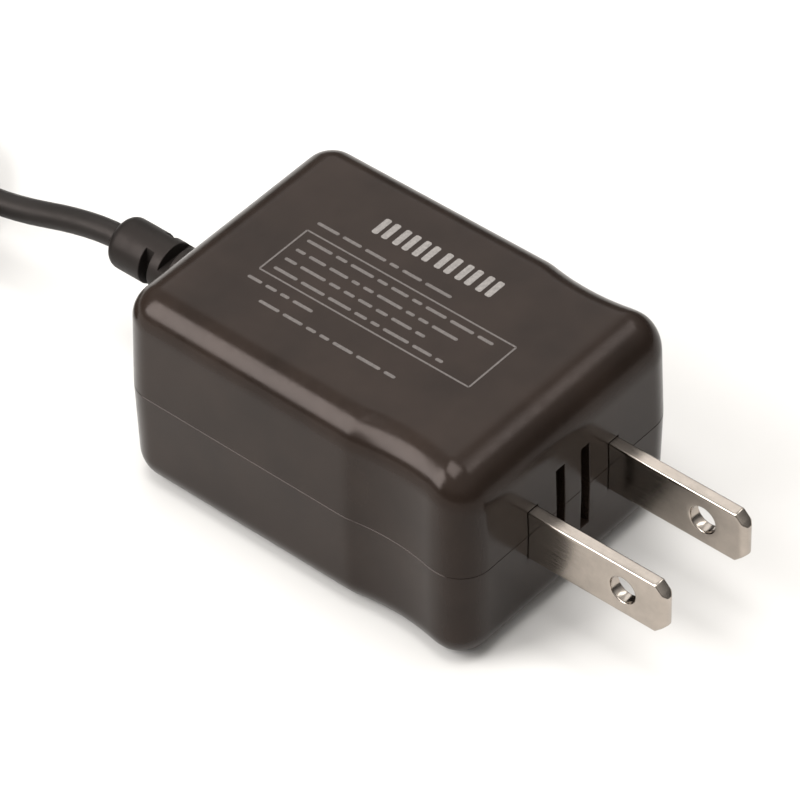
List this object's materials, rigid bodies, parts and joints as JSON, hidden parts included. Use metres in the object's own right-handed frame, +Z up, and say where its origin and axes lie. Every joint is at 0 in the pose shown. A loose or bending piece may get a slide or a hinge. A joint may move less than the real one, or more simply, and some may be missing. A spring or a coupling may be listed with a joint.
{
  "type": "power adapter",
  "caption": "Small plug-in power adapter: black moulded case with finger scoops, two fixed flat blades, segmented strain relief and a coiled thin cord that ends in a barrel plug.",
  "frame": {"origin": "under the middle of the adapter, from the tips of the blades to the end of the strain relief, at the level of the case's bottom face; the free cord isn't counted", "axes": "+Y from the blades to the cord, +X across the case, +Z up"},
  "size_m": [0.0561, 0.1503, 0.0254],
  "materials": {
    "case_plastic": "satin black, fine texture",
    "blade_metal": "nickel plated brass",
    "relief_plastic": "satin black, soft",
    "cord_jacket": "smooth satin black",
    "tie_plastic": "satin black",
    "grip_plastic": "satin black",
    "sleeve_metal": "nickel plated, bright",
    "insulator_plastic": "dull black",
    "contact_metal": "bright brass",
    "board_laminate": "tan laminate with tin traces below",
    "wire_metal": "tinned copper",
    "resistor_lacquer": "grey blue lacquer",
    "diode_epoxy": "black epoxy",
    "ferrite": "sintered dark grey",
    "copper_winding": "enamelled copper wire",
    "capacitor_sleeve": "black shrunk sleeve, aluminium top",
    "chip_epoxy": "black epoxy",
    "disc_lacquer": "blue lacquer",
    "bobbin_resin": "black resin",
    "tape_film": "yellow film",
    "wire_red": "red insulation",
    "wire_black": "black insulation"
  },
  "bodies": {
    "root": {"upper_shell": "case_plastic", "lower_shell": "case_plastic", "blade_left": "blade_metal", "blade_right": "blade_metal", "strain_relief": "relief_plastic", "cord_lead": "cord_jacket", "cord_coil": "cord_jacket", "coil_tie": "tie_plastic", "cord_tail": "cord_jacket", "plug_grip": "grip_plastic", "plug_sleeve": "sleeve_metal", "plug_insulator": "insulator_plastic", "plug_contact": "contact_metal", "circuit_board": "board_laminate", "input_wire_left": "wire_metal", "input_wire_right": "wire_metal", "fusible_resistor": "resistor_lacquer", "rectifier_diode_1": "diode_epoxy", "rectifier_diode_2": "diode_epoxy", "rectifier_diode_3": "diode_epoxy", "rectifier_diode_4": "diode_epoxy", "choke_core": "ferrite", "choke_winding": "copper_winding", "input_capacitor_1": "capacitor_sleeve", "input_capacitor_2": "capacitor_sleeve", "startup_resistor": "resistor_lacquer", "control_chip": "chip_epoxy", "snubber_diode": "diode_epoxy", "snubber_resistor": "resistor_lacquer", "bias_capacitor": "capacitor_sleeve", "transformer_bobbin": "bobbin_resin", "transformer_core_front": "ferrite", "transformer_core_back": "ferrite", "transformer_winding": "copper_winding", "transformer_tape": "tape_film", "safety_capacitor": "disc_lacquer", "optocoupler": "chip_epoxy", "output_diode": "diode_epoxy", "output_capacitor_1": "capacitor_sleeve", "output_capacitor_2": "capacitor_sleeve", "voltage_reference": "chip_epoxy", "output_wire_positive": "wire_red", "output_wire_negative": "wire_black"}
  },
  "joints": []
}
